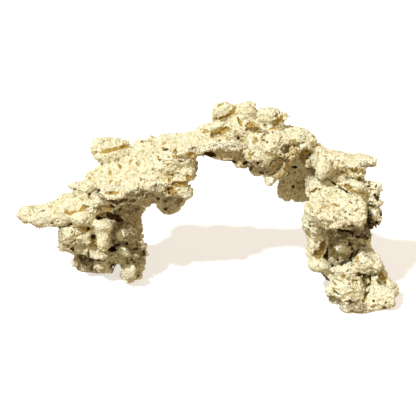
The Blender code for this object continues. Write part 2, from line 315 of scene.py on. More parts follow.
# The broad porous plate over the left leg, and its lobes that hang at the right
rocks["deck_rock"] = dict(rough=0.6, bored=1.5, lumps=[
    lump(8.5, 3.4, 6, at=(78, 185.5), rise=1, turn=2), lump(6, 3.6, 4, at=(91, 174), turn=24),
    lump(4, 4, 5, at=(151, 138.5), rise=1), lump(6.5, 4, 8, at=(140.5, 143.5)),
    lump(15, 10, 16, at=(170, 165), rise=1.5, square=3), lump(11, 4.5, 14, at=(187, 160), rise=6),
    lump(10, 5, 14, at=(177, 160), rise=6), lump(15, 5, 10, at=(112, 159), rise=1.5),
    lump(14, 3, at=(117, 197.5), rise=2, turn=6), lump(8, 5, 8, at=(184, 192), rise=2),
    lump(18, 9, 14, at=(143, 197), rise=-14), lump(11, 9.5, 14, at=(168, 205), rise=-9, turn=-10),
    lump(7.5, 4.5, 10, at=(183, 198.5), rise=-8, turn=35), lump(5, 10, 12, at=(194, 167), rise=-6, turn=-4),
], trims=[
    trim(3.5, 2, at=(190.5, 183.5), turn=15), trim(9, 3, at=(187, 206), turn=50),
    trim(6, 3, at=(182, 210.5), turn=72), trim(6, 2.1, at=(98, 164), turn=-8),
    trim(1.4, 3.6, at=(131.8, 143.5)), trim(4.6, 5, at=(200, 158.5)), trim(3.4, 3.6, at=(153.5, 206)),
], hollows=[
    hollow(7, 5, 10, at=(135, 196.5), turn=20, stain=0.4, square=3),
    hollow(12, 9, 13, at=(146, 200), turn=-8, stain=0.4, square=2.6),
    hollow(7, 4, 8, at=(142, 193), turn=-25, stain=0.3), hollow(6, 4, 6, at=(161, 188), turn=-12, stain=0.4),
    hollow(8, 8, 12, at=(158, 197), turn=35, stain=0.3),
    hollow(16, 13, 11, at=(171, 210), turn=10, stain=0.4, square=3),
    pit(7.5, 15, 12, at=(200, 167), turn=-4),
    crack(2, 4, along=[(86, 193), (91, 196.5), (100, 200)], stain=0.3),
    pit(8.5, 2.8, 5, at=(181, 184), stain=0.9), pit(6, 4, 5, at=(170.5, 191), turn=-10, stain=0.8),
    pit(6, 1.5, 4.5, at=(112, 193), stain=0.8), pit(3, 3, 4, at=(188, 178), stain=0.9),
    pit(4, 3, 3, at=(191, 155), stain=0.8), pit(11, 5, 4, at=(107, 211), turn=-15, stain=0.8),
    slit(1.6, 4, along=[(106, 201), (118, 202), (124, 200.5), (133, 199.5)], stain=0.7),
], bosses=[
    lump(3.4, 2.4, 10, at=(137, 192), rise=1, turn=10), lump(4, 2.4, 10, at=(148.5, 190), rise=1, turn=-10),
    lump(4, 3, 10, at=(142, 197), rise=-3, turn=20), lump(3, 3.4, 10, at=(158, 192.5), rise=-1),
], pits=[
    pit(2, 2.8, 1.8, at=(131, 160), stain=0.7), pit(1.9, 2.4, 1.8, at=(138, 163)),
    pit(2.2, 1, 1, at=(135, 155.5), stain=0.5), pit(3.6, 1.1, 1.3, at=(119, 165.5), turn=-42, stain=0.8),
    crack(1.2, 1.5, along=[(157.5, 157), (160, 161), (160, 164.5)], stain=0.7),
    crack(0.7, 1.1, along=[(160, 163), (163, 164.5), (169, 164)], stain=0.6),
    pit(3.6, 4.8, 2, at=(174.5, 152.5), turn=15, stain=0.8), hole(2.4, 1.1, 5, at=(166, 149.7)),
    pit(2, 1, 1.2, at=(162.5, 147.7), turn=-20, stain=0.7), pit(1.9, 1.5, 1.5, at=(163.5, 143), stain=0.7),
    pit(1.4, 0.9, 0.9, at=(168, 139.5)), pit(3.2, 1.2, 1.2, at=(142, 142.5), turn=35, stain=0.7),
    pit(1, 1, 1.1, at=(151, 143.7), stain=0.5), pit(1.1, 3.2, 1.5, at=(110, 172), turn=5),
    pit(1.7, 2.4, 1.5, at=(111, 182), turn=-10), pit(1.3, 4.2, 1.3, at=(140.3, 177), turn=5, stain=0.5),
    pit(3, 1, 1, at=(146, 173), turn=10, stain=0.4), pit(1.2, 2.2, 1.3, at=(172, 174), turn=20, stain=0.7),
    crack(0.9, 1.8, along=[(169.5, 176), (169.5, 184)], stain=0.6),
    pit(1.4, 2.8, 1.5, at=(139, 185), turn=10, stain=0.5),
    pit(5.5, 1.6, 1.8, at=(183, 160), turn=8, stain=0.8), hole(1, 1, 8, at=(168.3, 189.6), stain=1),
    hole(0.8, 0.8, 5, at=(168.8, 193), stain=1), hole(1.8, 1.2, 14, at=(158.5, 198.5), turn=10),
    hollow(2.5, 1.3, 15, at=(150, 195), turn=-30), hollow(1.5, 1, 16, at=(162, 203), stain=0.8),
    hollow(4, 1, 16, at=(173, 207), turn=-50), groove(1.2, 14, along=[(160, 206), (165, 200.5), (172, 198)]),
    groove(1, 14, along=[(168, 213), (174, 209), (180, 202)]), hole(1.6, 1.2, 16, at=(165.5, 209)),
    pit(1.8, 1.2, 1.8, at=(89, 178), stain=0.8), pit(1.3, 3, 1.1, at=(97, 182), turn=-10, stain=0.4),
    pit(1.3, 0.8, 0.8, at=(182, 166)), pit(0.9, 1.2, 0.8, at=(180, 169)),
    pit(1.2, 0.8, 0.7, at=(153, 173.5)), crack(0.7, 1.3, along=[(147, 153), (144, 159), (145, 165)]),
    crack(0.7, 1.2, along=[(124, 176), (128, 181), (127, 187)]),
    crack(0.7, 1.6, along=[(150, 181), (157, 178), (165, 178)]),
    crack(0.6, 1.1, along=[(101, 176), (107, 178), (112, 177)], stain=0.3),
])

# The small flat stone on the deck
rocks["cap_stone"] = dict(rough=0.4, bored=0.5, lumps=[
    lump(7, 9.5, 12, at=(97.5, 148), rise=1), lump(5, 3.5, 6, at=(99, 157)),
    lump(15, 3.6, 10, at=(111, 141.5), rise=0.5), lump(14, 4, 8, at=(113, 155), rise=1, turn=10),
], pits=[
    pit(5, 0.9, 0.8, at=(106, 141.3), turn=2, stain=0.4),
    crack(1.5, 1.6, along=[(103, 152), (110, 150), (120, 147.8), (128, 145.5)], stain=1),
    pit(1, 2, 1.2, at=(94, 145), turn=30, stain=0.7), pit(1.8, 0.8, 1.2, at=(96.5, 152)),
])

# The pitted block at the front of the left leg
rocks["front_block"] = dict(rough=0.5, bored=0.5, lumps=[
    lump(9, 7, at=(83, 219), rise=2.5), lump(8, 7, at=(69, 233.5), rise=2.5),
    lump(9, 6, 10, at=(76, 241), rise=2), lump(8, 8, 10, at=(92, 229), rise=1),
    lump(9.5, 7.5, at=(103, 226.5), rise=5, turn=-15), lump(6, 11, at=(103, 240), rise=6, square=2.6),
    lump(8, 2.5, at=(83, 237.5), rise=3, turn=5), lump(8.5, 4.8, at=(99, 256.5), rise=4),
    lump(6, 5, at=(66, 239), rise=2, turn=-20), lump(4.5, 6.5, 8, at=(62, 245)),
    lump(4, 10, 8, at=(62, 233), rise=-3), lump(12, 3.5, 8, at=(86, 251), turn=-20),
], hollows=[
    pit(6, 3.4, 3.5, at=(84, 230), stain=1), pit(12, 5.5, 3, at=(83, 248), turn=-8, stain=0.4),
    hole(3.4, 2.8, 10, at=(93.5, 236.5), turn=-35), pit(3, 4.5, 3, at=(93, 245.5), stain=0.9),
    pit(2.6, 1.3, 2.5, at=(98, 233.5), turn=10, stain=0.4), pit(3, 3.5, 2, at=(71, 226), stain=0.8),
], pits=[
    hole(1.3, 1.8, 9, at=(88.3, 228.5), turn=-20), pit(0.9, 1.7, 1.8, at=(89, 222), turn=10),
    pit(1.5, 1, 1.8, at=(74.5, 225.5), turn=-40, stain=0.8),
    slit(0.9, 4, along=[(70, 248), (74, 251), (79, 254.5)], stain=0.8),
    # Pale streaks in these grooves are painted light
    crack(0.5, 7, along=[(72, 246.5), (78, 243)], stain=0.6, tone="pale"),
    crack(0.5, 7, along=[(76, 247), (80, 244)], stain=0.6, tone="pale"),
    crack(0.5, 7, along=[(71.5, 242.5), (75.5, 240)], stain=0.6, tone="pale"),
])

# The shaded column with its two feet
rocks["left_leg_rock"] = dict(rough=1.3, bored=2, lumps=[
    lump(9, 4, 8, at=(114, 257), rise=3), lump(9, 11, 16, at=(108, 218), rise=-12),
    lump(8, 7, 12, at=(107, 245), rise=-28),
    lump(19.5, 10.5, 16, at=(93, 264.3), rise=-6.5, turn=-5, square=2.4), lump(3, 5, 6, at=(124, 276)),
    lump(5, 4, at=(112.5, 262)), lump(3, 2.6, 8, at=(108.5, 271.5), rise=3),
    lump(7, 14, 12, at=(137, 262), rise=-4, turn=6),
], trims=[
    trim(2.4, 5, at=(120.5, 268), turn=15), trim(2.8, 8, at=(119, 272), turn=-5),
    trim(6, 3.4, at=(73.5, 269), turn=-50), trim(3, 7, at=(145, 236.5)),
    trim(4.5, 10, at=(146, 272), turn=-18),
], hollows=[
    hole(7.3, 3.2, 16, at=(115.5, 216.5), turn=-33, stain=1),
    hole(4.5, 3.6, 18, at=(110.5, 216), turn=-40, stain=1), pit(7, 3, 8, at=(103, 216), turn=18, stain=0.9),
    hole(2.5, 1.2, 12, at=(99, 218)), hollow(4, 11, 17, at=(113, 237), stain=0.8),
    hole(6.5, 3.4, 16, at=(114, 247.5), turn=20, stain=1),
    hollow(20, 9.5, 7, at=(92, 265), turn=-6, stain=0.3, square=4),
    hollow(9, 18, 6, at=(140, 262), turn=6, stain=0.5),
    slit(1.2, 17, along=[(84, 257), (89, 259), (92, 262)]), hole(3.4, 3.8, 5, at=(112, 265.5), turn=20),
    hollow(7, 3, 4, at=(136, 245)),
], bosses=[
    lump(6, 6, 16, at=(122.5, 234.5), rise=14, turn=-10), lump(9, 6, 9, at=(117, 218), rise=-23),
    lump(5.6, 3.5, 24, at=(124.5, 252.3), rise=26, turn=-32),
    lump(6.4, 7.6, 22, at=(129.5, 273), rise=24, turn=-15, square=2.6),
    lump(8, 8, 18, at=(102, 264.5), rise=13, turn=20),
], pits=[
    hole(3, 1, 8, at=(130.5, 260.5), turn=10), hollow(4, 1, 6, at=(127, 263.5), turn=15, stain=0.9),
    hole(1.5, 2, 5, at=(126.5, 243.5)), hole(3, 1, 8, at=(136, 249), turn=10),
    hole(1, 2.5, 8, at=(144, 253)), pit(0.8, 0.8, 1.2, at=(133, 271)),
    groove(0.9, 5, along=[(133, 279.5), (136, 277), (140, 275)]), hole(1.5, 1, 6, at=(117, 204)),
    hole(2, 1, 6, at=(121, 209), turn=-20), hole(2.5, 1, 5, at=(112, 206), turn=-30),
    hollow(1.5, 1.5, 5, at=(128, 213), stain=0.7), hollow(3, 4, 4, at=(137, 209), stain=0.9),
    hollow(3.5, 2, 3, at=(134, 226), turn=40, stain=0.7),
])

# The thin slab between the deck and the crown
rocks["bridge_slab"] = dict(rough=0.45, bored=0.5, lumps=[
    lump(5, 3.6, 8, at=(203.5, 128)), lump(15, 5.5, 12, at=(219, 126), rise=1.5, turn=24),
    lump(12, 6, 10, at=(228, 134), rise=1), lump(13, 6.8, 12, at=(226, 153), rise=-9, turn=-6),
    lump(9, 5.5, 12, at=(241, 162), rise=-9, turn=-25),
    lump(8, 3.4, 10, at=(209, 152.5), rise=-10, turn=-14), lump(9, 8, 8, at=(238, 140), rise=1.5),
], trims=[
    trim(5, 5.2, at=(199, 158.5)), trim(5, 2.6, at=(208.5, 121)),
], hollows=[
    hollow(20, 6.5, 10, at=(222, 157), stain=0.3, square=4),
    hollow(9, 5, 8, at=(240, 163.5), turn=-22, stain=0.3, square=4),
    hole(7, 2.6, 20, at=(209, 154), turn=-14, stain=1),
], pits=[
    pit(7, 1.9, 1.9, at=(216, 134.5), turn=6, stain=1), pit(5, 1.9, 2, at=(225, 130), turn=36, stain=1),
    pit(5, 1.5, 1, at=(204, 131.3), turn=-8, stain=0.8), pit(0.8, 1.2, 0.7, at=(195.5, 133)),
    crack(1.1, 1.6, along=[(238, 118.5), (239.5, 122), (241.5, 125)], stain=1),
    hole(1.3, 2.4, 7, at=(238.5, 138.3)), pit(3, 1.4, 1.2, at=(236, 132), turn=-50),
    groove(1, 3, along=[(191, 148.5), (197, 147.5)]),
    groove(0.8, 3, along=[(224, 148), (228, 146), (235, 146.5)], stain=0.6),
    crack(1, 1, along=[(243, 151), (249, 151), (250, 158)], stain=0.8),
    crack(1.2, 1, along=[(241, 149), (243, 154)], stain=0.7), hole(4, 1, 16, at=(232, 161), turn=-20),
    hole(3, 1.4, 14, at=(246, 163), turn=20),
])

# The round knobs at the top
rocks["crown_rock"] = dict(rough=0.55, bored=0.8, lumps=[
    lump(9.5, 8.5, at=(222.5, 110.5), rise=1.5, square=2.2), lump(9, 8.5, at=(249, 110), rise=1.5),
    lump(8, 5.5, 8, at=(238, 111), rise=1), lump(12, 6, 10, at=(246, 117), rise=3),
    lump(11, 8.5, at=(267, 116.5), rise=1.5, square=2.6), lump(6, 2.8, 6, at=(282, 115), rise=1, turn=-14),
    lump(2.5, 5, at=(214.5, 115)), lump(4, 6, 8, at=(281, 122), rise=-1),
], trims=[
    trim(1.8, 4, at=(257.5, 108)),
], hollows=[
    pit(5, 3.6, 4, at=(250, 125.5), turn=-25, stain=0.9),
    pit(4, 2.6, 4.5, at=(256, 130), turn=-25, stain=0.9),
    pit(2.5, 3.4, 3, at=(255, 140.5), turn=-5, stain=1), pit(4.5, 5, 2.5, at=(279, 124), turn=15, stain=0.9),
], pits=[
    crack(1.1, 1.4, along=[(215, 119.5), (222, 116.8), (230, 115), (233, 112)], stain=0.9),
    crack(0.8, 0.7, along=[(221, 105.5), (227, 103.8)], stain=0.8),
    pit(1, 1.6, 0.7, at=(219.5, 107), turn=-20, stain=0.7),
    pit(1.4, 2.4, 1.5, at=(234.5, 107.5), turn=-30, stain=0.9),
    groove(1.2, 4, along=[(258, 128), (262, 131), (266.5, 132.5)], stain=0.9),
    crack(0.7, 1.2, along=[(266, 133), (262, 137)], stain=0.9), hollow(1.5, 1, 3, at=(247, 130), stain=0.8),
    pit(3, 1.8, 1.8, at=(275, 115), turn=10, stain=0.5, tone="grey"),
    pit(1.2, 1.8, 1.5, at=(281.5, 117.5), stain=0.9), pit(2.8, 1, 1.2, at=(273, 128), turn=15, stain=1),
    pit(1, 1, 0.9, at=(247.5, 112.5), stain=0.5), pit(1, 2, 0.8, at=(256, 114), stain=0.5),
])

# The large rock that turns the arch down to the right
rocks["span_rock"] = dict(rough=0.8, bored=0.8, lumps=[
    lump(15, 10, 12, at=(268, 147), rise=2, turn=15), lump(9, 8, 12, at=(257, 168), rise=-9, turn=-40),
    lump(14, 9, 12, at=(276, 168), rise=-9, turn=30), lump(8, 4.5, 10, at=(288, 130), rise=-1, turn=-20),
    lump(6, 5, 10, at=(251, 162), rise=-22), lump(8, 7, 10, at=(310, 140), turn=-35),
    lump(7, 4.5, 12, at=(304, 144.5), rise=1), lump(12, 7, 10, at=(296, 136), rise=2, turn=-25),
], trims=[
    trim(11, 3, at=(302, 125.2), turn=-13), trim(6, 2.6, at=(248.3, 173.8), turn=-55),
], hollows=[
    pit(22, 12, 3, at=(284, 162), turn=52, stain=0.2),
    pit(9, 4.5, 3, at=(283, 173), turn=35, stain=0.2, square=3),
    pit(13, 8, 3, at=(270, 175), turn=25, stain=0.2),
    hollow(11, 9, 10, at=(257, 170), turn=-35, stain=0.35, square=3),
    pit(7, 5, 3.5, at=(304, 154), turn=10, stain=0.9),
    pit(6.5, 11, 5, at=(291, 153), turn=-12, stain=0.4, square=3),
], bosses=[
    lump(5, 5.5, 8, at=(270.5, 181), turn=-20),
], pits=[
    hole(2.6, 1.6, 12, at=(258.5, 163), stain=0.5), hole(1.4, 3, 13, at=(251, 169), turn=-20, stain=0.7),
    hole(3, 1, 13, at=(262, 173), turn=-20, stain=0.7), pit(2, 1.2, 1.2, at=(242.5, 141), stain=0.7),
    hollow(1.4, 1.4, 7, at=(281.5, 149), stain=1),
    groove(0.8, 17, along=[(275, 172), (284, 163), (290, 155)], stain=0.6),
    groove(0.8, 16, along=[(271, 176), (279, 170)], stain=0.6),
    groove(0.8, 12, along=[(270, 162), (279, 158), (286, 148)], stain=0.5),
    crack(0.8, 1.2, along=[(288, 141), (296, 140)], stain=0.8),
])

# The shaded panel behind and under it
rocks["back_rock"] = dict(rough=0.8, bored=1, lumps=[
    lump(5, 6, 10, at=(289, 163), rise=-4), lump(3, 9, at=(281, 187)),
    lump(9, 12, 10, at=(300, 190), rise=-2),
], trims=[
    trim(3, 4.2, at=(291.5, 201.8)), trim(2.2, 9, at=(276, 190), turn=8), trim(2.5, 3, at=(280, 201)),
], hollows=[
    pit(4.5, 11, 6, at=(315, 168), stain=0.5),
], bosses=[
    lump(3, 3.8, 12, at=(308.5, 163.5), rise=9), lump(2.2, 3.5, 12, at=(309, 172), rise=9),
], pits=[
    hole(2.4, 1.4, 9, at=(294.5, 167)), hole(2.2, 1.8, 4, at=(288, 173.5), stain=0.6),
    hole(1, 1.2, 3, at=(295, 172), stain=0.6), hole(1.4, 1.6, 6, at=(293, 186.5)),
    hole(1, 1.5, 3, at=(284, 182), stain=0.5),
    groove(0.8, 3.5, along=[(309.5, 156), (307, 159), (304.5, 164)]),
    groove(0.9, 2.4, along=[(304, 180), (301, 188), (295, 193)], stain=0.7),
    groove(0.8, 2, along=[(297, 188.5), (304, 188)], stain=0.7),
])

# The ledge that points right
rocks["shelf_rock"] = dict(rough=0.6, bored=0.8, lumps=[
    lump(7.5, 9.5, at=(322, 170), rise=2, turn=-10), lump(10, 5, 12, at=(334, 180), rise=4),
    lump(8, 5, 10, at=(317, 149), rise=2, turn=-30), lump(8, 3.4, at=(357, 174), rise=2.5, turn=-15),
    lump(8, 5, 8, at=(368, 162), turn=-6, square=3), lump(9, 3, 8, at=(336, 153.5)),
    lump(15, 6.8, 15, at=(338, 160.5), rise=3.2, square=2.5), lump(11, 4.5, 8, at=(335, 178), rise=-1),
], hollows=[
    pit(15, 2.8, 3.4, at=(346, 171), turn=2),
], pits=[
    crack(0.7, 1.5, along=[(331, 163), (335, 165.5)]),
    pit(5, 1.2, 2, at=(365, 163), turn=-5, stain=0.3, tone="grey"), hollow(7, 1.3, 3, at=(366, 167), turn=5),
    pit(1.2, 1, 0.8, at=(322, 157)),
    crack(0.8, 1.8, along=[(340, 168), (350, 169), (357, 167.5)], stain=0.7),
])

# The pitted block over the right leg
rocks["shoulder_rock"] = dict(rough=0.6, bored=0.8, lumps=[
    lump(6.5, 7.5, at=(313, 187), rise=2), lump(8, 8, 14, at=(358, 211), rise=-30),
    lump(10, 2.6, 8, at=(336, 226), rise=4, turn=12), lump(3.2, 5, 8, at=(363.5, 226), rise=4),
    lump(11, 6, 10, at=(355, 186), rise=2.5, turn=-22), lump(5, 7, 10, at=(309, 209), rise=1),
    lump(13, 14.5, 16, at=(354, 213), rise=4, square=3), lump(14, 6, 10, at=(330, 191), rise=2.5, turn=-12),
    lump(9, 4.4, 18, at=(325, 182.5), rise=14, turn=-8),
], trims=[
    trim(2.2, 8, at=(304.5, 191)), trim(3, 3.5, at=(307, 198.5)),
], hollows=[
    hollow(8.5, 2.6, 8, at=(353, 224.5), turn=3, stain=0.7),
    hollow(4, 2.4, 6, at=(315, 222), turn=-30, stain=0.8), hollow(5, 10, 9, at=(325, 230), stain=0.3),
    crack(1.9, 2.4, along=[(346, 185), (351, 190), (357, 195), (363, 194)], stain=0.9),
], bosses=[
    lump(3.6, 3.4, 8, at=(363, 196), rise=2),
], pits=[
    slit(0.9, 7, along=[(331, 181.5), (339, 187), (347, 192)], stain=0.8),
    crack(1.1, 1.5, along=[(310.5, 192.5), (316, 189), (323, 186.5)], stain=0.9),
    pit(2, 0.8, 1.2, at=(318.5, 202), stain=0.7),
    crack(0.7, 1.1, along=[(328, 201), (331, 203), (337, 205.5)], stain=0.7),
    pit(1.6, 0.9, 0.9, at=(326, 206.7), turn=-10, stain=0.5),
    groove(0.7, 4, along=[(349, 202), (352, 203.5), (353.5, 206)], stain=0.7),
    crack(0.8, 2.1, along=[(357, 203), (354.5, 206), (357, 210)], stain=0.7),
    crack(1.1, 4, along=[(359, 202), (363, 205), (367, 206)], stain=0.9),
    pit(1.4, 1, 1.8, at=(328, 186), stain=0.8), pit(1.2, 2, 0.9, at=(313, 213), turn=30, stain=0.4),
    hollow(4, 0.9, 3, at=(339, 220), turn=8), pit(1, 1, 0.9, at=(320, 213.5)),
    crack(0.6, 1.7, along=[(327, 209), (337, 213), (345, 218)]),
    crack(0.6, 1.6, along=[(315, 209), (326, 214), (336, 218)]),
    crack(0.6, 1.6, along=[(309, 206), (312, 212), (317, 218)]),
    crack(0.7, 4.3, along=[(344, 211), (352, 216), (360, 220)], stain=0.3),
    crack(0.6, 1.6, along=[(334, 195), (342, 198), (350, 200)], stain=0.3),
])

# The rough lumps down its right side
rocks["knob_rock"] = dict(rough=1.1, bored=1.4, lumps=[
    lump(5, 5.5, 8, at=(375, 214), rise=3), lump(7, 3.4, 6, at=(376, 218.5), rise=1),
    lump(6.5, 6, 8, at=(375, 187), rise=2), lump(3, 3.5, at=(379, 204), rise=1),
    lump(9, 7, 9, at=(369, 226), rise=-4, turn=-20), lump(6, 4, 9, at=(364, 245), rise=-6),
    lump(5, 10, 10, at=(366, 236), rise=-6), lump(6, 6, 8, at=(372, 200), rise=1.5),
], trims=[
    trim(6, 3.4, at=(381, 230.5), turn=45, deep=160), trim(7, 6, at=(376, 238), turn=50, deep=160),
    trim(5, 6, at=(373.5, 242), deep=160),
], hollows=[
    groove(1.2, 3.5, along=[(357, 178.5), (362, 181), (368, 185)], stain=0.7),
    hole(2.4, 3, 7, at=(377.5, 199)),
    groove(1.4, 6, along=[(370, 209), (376, 208), (381, 209.5)], stain=0.9),
    slit(3.4, 12, along=[(368.5, 211), (369, 222), (368, 236)], stain=0.7),
    hole(10, 10, 11, at=(375, 232), turn=30, stain=0.6), hole(6, 9, 10, at=(366, 236), stain=0.7),
], pits=[
    hole(1.8, 1.4, 5, at=(375, 194.5)), hole(1.6, 2, 5, at=(380.5, 214), turn=30),
    hole(1.1, 1.4, 5, at=(368, 187)), hollow(0.8, 1.8, 4, at=(376, 186), stain=0.8),
    hole(1.2, 1.6, 5, at=(377, 222)), hollow(3, 0.8, 4, at=(373, 203), turn=-10),
])

# The hollowed column under it
rocks["right_leg_rock"] = dict(rough=0.6, bored=0.6, lumps=[
    lump(5, 8.5, 8, at=(307, 222), rise=1, turn=5), lump(6, 8, 8, at=(317, 232), rise=3),
    lump(11, 7, 10, at=(320, 266), rise=3, turn=-5), lump(4, 8, 8, at=(312.5, 246), rise=1),
    lump(17, 16, 14, at=(344, 252), rise=-8),
], trims=[
    trim(2.6, 7, at=(305, 240)), trim(2, 8, at=(299.6, 222)),
], hollows=[
    hollow(17, 18.5, 8, at=(343, 248), stain=0.3, square=3),
    pit(7.5, 4, 7, at=(320, 254), turn=5, stain=0.8), hole(2, 2.6, 12, at=(324.5, 256)),
    pit(3.6, 6.5, 8, at=(323, 246), turn=10, stain=0.8), hollow(4, 5, 9, at=(331, 233), stain=0.7),
    slit(1.6, 12.5, along=[(340, 229.5), (350, 231), (354, 235.5), (361, 237.5)]),
    hollow(5, 8, 9, at=(354, 249), turn=-10),
], bosses=[
    lump(13, 11, 16, at=(345, 247), rise=1), lump(5, 4.7, 26, at=(340, 247.5), rise=21.5, turn=30),
    lump(5, 5.5, 22, at=(315.5, 229.5), rise=20),
], pits=[
    slit(1, 12, along=[(327.3, 250), (327.3, 259)]),
    groove(0.9, 4, along=[(310, 225), (311.5, 230)], stain=0.7),
    slit(1.2, 11, along=[(351, 246), (353, 251), (351.5, 257)], stain=0.7),
    hole(1.2, 1.4, 13, at=(351, 261)),
    groove(1, 13.5, along=[(347, 246), (353, 244), (359, 245)], stain=0.9),
    hollow(1, 1.8, 13.5, at=(337.5, 260)), hole(0.9, 1.8, 8, at=(332.7, 266.5)),
    hollow(2, 0.8, 16, at=(337, 240), stain=0.7), hollow(2.5, 2, 4, at=(316, 243), stain=0.5),
])

# The rock that the right leg stands on
rocks["foot_rock"] = dict(rough=0.8, bored=1.1, lumps=[
    lump(15, 17, 18, at=(348, 288), rise=3, turn=20), lump(10, 9, 12, at=(364, 262), rise=1, turn=-20),
    lump(7, 6, 12, at=(367, 278), rise=6), lump(7, 4.5, 8, at=(361, 249.5)),
    lump(4, 3.4, 8, at=(367, 248.5), rise=1), lump(16, 12, 16, at=(381, 297), rise=1.5, square=2.8),
    lump(6.5, 7.5, 8, at=(331, 293), rise=0.5), lump(7, 6.5, 8, at=(347, 306), rise=1, turn=-30),
    lump(8, 6, 8, at=(388, 286), rise=1, turn=-40), lump(6, 7, 8, at=(377, 265), rise=1, turn=20),
    lump(4.5, 3, at=(375, 278), rise=2.5, turn=40), lump(13, 5, 8, at=(345, 270), rise=2),
    lump(8, 4, 12, at=(336, 301), rise=-9, turn=-28), lump(13, 6, 14, at=(361, 308.5), rise=1.5),
], trims=[
    trim(2.2, 8, at=(385.5, 268), turn=12), trim(6, 2.4, at=(396.5, 281), turn=-45),
    trim(3.6, 4.6, at=(398, 299.5)), trim(5, 3.5, at=(324, 285), turn=20),
], hollows=[
    pit(5.5, 4.4, 2, at=(366, 276), stain=0.9), pit(4, 8, 5, at=(382, 281), turn=8, stain=1),
    crack(1.4, 2.4, along=[(371, 281), (367.5, 288)], stain=0.9),
    crack(1.2, 2, along=[(367.5, 288), (365, 296), (363.5, 303)], stain=0.8),
    hollow(2.4, 4.5, 5, at=(351, 302), turn=25, stain=0.8),
    hollow(8, 4, 8, at=(336, 302), turn=-30, stain=0.4, square=3),
    hollow(6, 3.4, 4, at=(357, 306), turn=-10, stain=0.5),
    hollow(8, 2.6, 8, at=(321, 275), turn=-40, stain=0.8),
], pits=[
    slit(1, 5, along=[(358, 273.5), (361, 275), (365, 274)]), slit(1.2, 6, along=[(369, 284), (371, 282.5)]),
    groove(0.8, 5, along=[(375, 276), (378, 272.5), (382, 270)], stain=0.9),
    groove(1.1, 3, along=[(366, 252), (370, 256.5), (373, 260)], stain=0.9),
    pit(2, 3.4, 2, at=(356.5, 259), turn=-15, stain=0.7), pit(1.6, 2.4, 2, at=(358.5, 264), turn=10),
    pit(3.4, 1.1, 1.8, at=(342, 276), turn=-5, stain=0.8), hole(1, 1, 4, at=(333.5, 281.3), stain=0.6),
    pit(2, 0.8, 2.1, at=(344, 291.3), stain=0.8),
    crack(1, 1.5, along=[(334, 289), (337, 291.5), (339, 294)], stain=0.7),
    pit(2, 0.8, 4, at=(356.5, 280.5), stain=0.7), pit(1.6, 1.4, 2.1, at=(374, 301), stain=0.8),
    pit(1.8, 2, 1.5, at=(390, 297), stain=0.8), pit(1.3, 1, 1.5, at=(388, 292.5)),
    hollow(2, 1.2, 3, at=(372, 307)), hole(1.3, 0.9, 4, at=(347.5, 298.5)),
    hole(2.4, 0.9, 3, at=(385, 307.5)), crack(0.7, 4.6, along=[(333, 283), (342, 288), (351, 296)]),
    crack(0.7, 4.6, along=[(338, 280), (347, 284), (356, 292)]),
    crack(0.7, 4.2, along=[(334, 291), (341, 295), (347, 301)]),
    crack(0.6, 4.2, along=[(345, 279), (353, 281), (359, 286)], stain=0.3), hole(1, 0.8, 3, at=(380.5, 263)),
])
